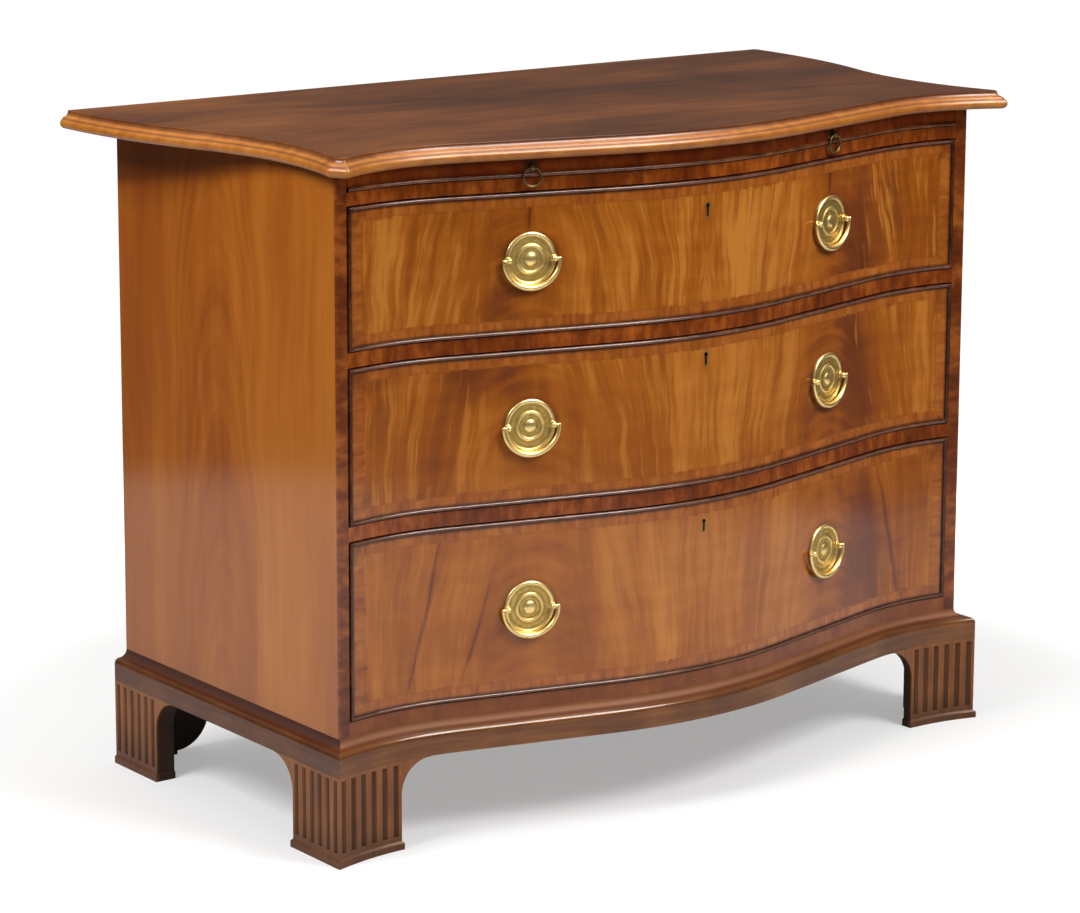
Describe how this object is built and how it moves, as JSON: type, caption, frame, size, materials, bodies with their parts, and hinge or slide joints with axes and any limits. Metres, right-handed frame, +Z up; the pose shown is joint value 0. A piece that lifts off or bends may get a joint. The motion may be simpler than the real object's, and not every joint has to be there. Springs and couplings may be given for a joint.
{
  "type": "chest of drawers",
  "caption": "Serpentine-fronted mahogany chest of drawers with a brushing slide, graduated cock-beaded drawers, brass bail handles and fluted bracket feet.",
  "frame": {"origin": "on the floor, under the middle of the top's width and depth", "axes": "+Z up, the front faces -Y, +X to the right of someone facing the front"},
  "size_m": [1.142, 0.6, 0.85],
  "materials": {
    "mahogany": "french polished",
    "oak_lining": "unfinished, aged",
    "brass": "antique, lightly worn",
    "lock_iron": "dark, waxed"
  },
  "bodies": {
    "carcass": {"top_board": "mahogany", "side_left": "mahogany", "side_right": "mahogany", "side_facings": "mahogany", "back_boards": "oak_lining", "bottom_board": "oak_lining", "slide_rail": "mahogany", "upper_divider": "mahogany", "lower_divider": "mahogany", "base_rail": "mahogany", "dust_boards": "oak_lining", "drawer_runners": "oak_lining", "drawer_stops": "oak_lining", "base_moulding_front": "mahogany", "base_moulding_left": "mahogany", "base_moulding_right": "mahogany", "base_rear_rail": "oak_lining", "foot_front_left": "mahogany", "foot_front_right": "mahogany", "foot_rear_left": "mahogany", "foot_rear_right": "mahogany", "foot_blocks": "oak_lining"},
    "brushing_slide": {"slide_board": "mahogany", "slide_lip": "mahogany", "slide_ring_bosses": "brass"},
    "ring_pull_left": {"slide_ring_left": "brass"},
    "ring_pull_right": {"slide_ring_right": "brass"},
    "lower_drawer": {"lower_drawer_front": "mahogany", "lower_drawer_cock_beads": "mahogany", "lower_drawer_sides": "oak_lining", "lower_drawer_back": "oak_lining", "lower_drawer_bottom": "oak_lining", "lower_drawer_handle_plates": "brass", "lower_drawer_escutcheon": "brass", "lower_drawer_lock": "lock_iron"},
    "lower_drawer_bolt": {"lower_drawer_lock_bolt": "lock_iron"},
    "lower_drawer_bail_left": {"lower_drawer_bail_left": "brass"},
    "lower_drawer_bail_right": {"lower_drawer_bail_right": "brass"},
    "middle_drawer": {"middle_drawer_front": "mahogany", "middle_drawer_cock_beads": "mahogany", "middle_drawer_sides": "oak_lining", "middle_drawer_back": "oak_lining", "middle_drawer_bottom": "oak_lining", "middle_drawer_handle_plates": "brass", "middle_drawer_escutcheon": "brass", "middle_drawer_lock": "lock_iron"},
    "middle_drawer_bolt": {"middle_drawer_lock_bolt": "lock_iron"},
    "middle_drawer_bail_left": {"middle_drawer_bail_left": "brass"},
    "middle_drawer_bail_right": {"middle_drawer_bail_right": "brass"},
    "upper_drawer": {"upper_drawer_front": "mahogany", "upper_drawer_cock_beads": "mahogany", "upper_drawer_sides": "oak_lining", "upper_drawer_back": "oak_lining", "upper_drawer_bottom": "oak_lining", "upper_drawer_handle_plates": "brass", "upper_drawer_escutcheon": "brass", "upper_drawer_lock": "lock_iron"},
    "upper_drawer_bolt": {"upper_drawer_lock_bolt": "lock_iron"},
    "upper_drawer_bail_left": {"upper_drawer_bail_left": "brass"},
    "upper_drawer_bail_right": {"upper_drawer_bail_right": "brass"}
  },
  "joints": [
    {"name": "brushing_slide_draw", "type": "slide", "parent": "carcass", "child": "brushing_slide", "axis": [0, -1, 0], "range_m": [0, 0.26]},
    {"name": "ring_pull_left_lift", "type": "hinge", "parent": "brushing_slide", "child": "ring_pull_left", "pos_m": [-0.2385, -0.2324, 0.815], "axis": [-0.9684, 0.2494, 0], "range_deg": [0, 100]},
    {"name": "ring_pull_right_lift", "type": "hinge", "parent": "brushing_slide", "child": "ring_pull_right", "pos_m": [0.2385, -0.2324, 0.815], "axis": [-0.9684, -0.2494, 0], "range_deg": [0, 100]},
    {"name": "lower_drawer_draw", "type": "slide", "parent": "carcass", "child": "lower_drawer", "axis": [0, -1, 0], "range_m": [0, 0.35]},
    {"name": "lower_drawer_bolt_throw", "type": "slide", "parent": "lower_drawer", "child": "lower_drawer_bolt", "axis": [0, 0, 1], "range_m": [0, 0.009]},
    {"name": "lower_drawer_bail_left_lift", "type": "hinge", "parent": "lower_drawer", "child": "lower_drawer_bail_left", "pos_m": [-0.2385, -0.2324, 0.276], "axis": [-0.9684, 0.2494, 0], "range_deg": [0, 165]},
    {"name": "lower_drawer_bail_right_lift", "type": "hinge", "parent": "lower_drawer", "child": "lower_drawer_bail_right", "pos_m": [0.2385, -0.2324, 0.276], "axis": [-0.9684, -0.2494, 0], "range_deg": [0, 165]},
    {"name": "middle_drawer_draw", "type": "slide", "parent": "carcass", "child": "middle_drawer", "axis": [0, -1, 0], "range_m": [0, 0.35]},
    {"name": "middle_drawer_bolt_throw", "type": "slide", "parent": "middle_drawer", "child": "middle_drawer_bolt", "axis": [0, 0, 1], "range_m": [0, 0.009]},
    {"name": "middle_drawer_bail_left_lift", "type": "hinge", "parent": "middle_drawer", "child": "middle_drawer_bail_left", "pos_m": [-0.2385, -0.2324, 0.501], "axis": [-0.9684, 0.2494, 0], "range_deg": [0, 165]},
    {"name": "middle_drawer_bail_right_lift", "type": "hinge", "parent": "middle_drawer", "child": "middle_drawer_bail_right", "pos_m": [0.2385, -0.2324, 0.501], "axis": [-0.9684, -0.2494, 0], "range_deg": [0, 165]},
    {"name": "upper_drawer_draw", "type": "slide", "parent": "carcass", "child": "upper_drawer", "axis": [0, -1, 0], "range_m": [0, 0.35]},
    {"name": "upper_drawer_bolt_throw", "type": "slide", "parent": "upper_drawer", "child": "upper_drawer_bolt", "axis": [0, 0, 1], "range_m": [0, 0.009]},
    {"name": "upper_drawer_bail_left_lift", "type": "hinge", "parent": "upper_drawer", "child": "upper_drawer_bail_left", "pos_m": [-0.2385, -0.2324, 0.704], "axis": [-0.9684, 0.2494, 0], "range_deg": [0, 165]},
    {"name": "upper_drawer_bail_right_lift", "type": "hinge", "parent": "upper_drawer", "child": "upper_drawer_bail_right", "pos_m": [0.2385, -0.2324, 0.704], "axis": [-0.9684, -0.2494, 0], "range_deg": [0, 165]}
  ]
}
